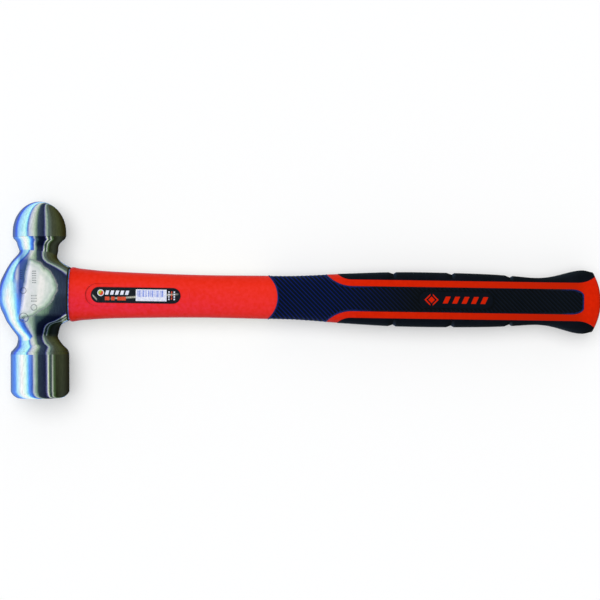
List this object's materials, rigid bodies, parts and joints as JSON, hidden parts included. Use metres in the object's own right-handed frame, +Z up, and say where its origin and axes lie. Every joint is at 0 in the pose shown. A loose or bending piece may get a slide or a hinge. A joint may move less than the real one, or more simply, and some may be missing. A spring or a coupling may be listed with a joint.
{
  "type": "ball peen hammer",
  "caption": "Ball peen hammer: forged steel head with a round striking face and a ball end, on a straight moulded handle with a soft ribbed grip.",
  "frame": {"origin": "middle of the underside of the bounding box, with the hammer lying on its side", "axes": "+X along the handle from the head to the butt, +Y towards the ball end, +Z up out of the cheek that carries the stamped marks"},
  "size_m": [0.3993, 0.131, 0.0388],
  "materials": {
    "forged_steel": "polished over fine grinding marks",
    "epoxy": "glossy cured resin",
    "fibreglass": "sawn end of a pultruded glass fibre rod",
    "orange_plastic": "moulded, fine satin texture",
    "black_rubber": "moulded soft grip, matte",
    "label_film": "printed film with a gloss laminate"
  },
  "bodies": {
    "root": {"head": "forged_steel", "eye_epoxy": "epoxy", "fibreglass_core": "fibreglass", "handle_jacket": "orange_plastic", "grip_sleeve": "black_rubber", "grip_pad_peen_side": "black_rubber", "grip_pad_face_side": "black_rubber", "label": "label_film"}
  },
  "joints": []
}
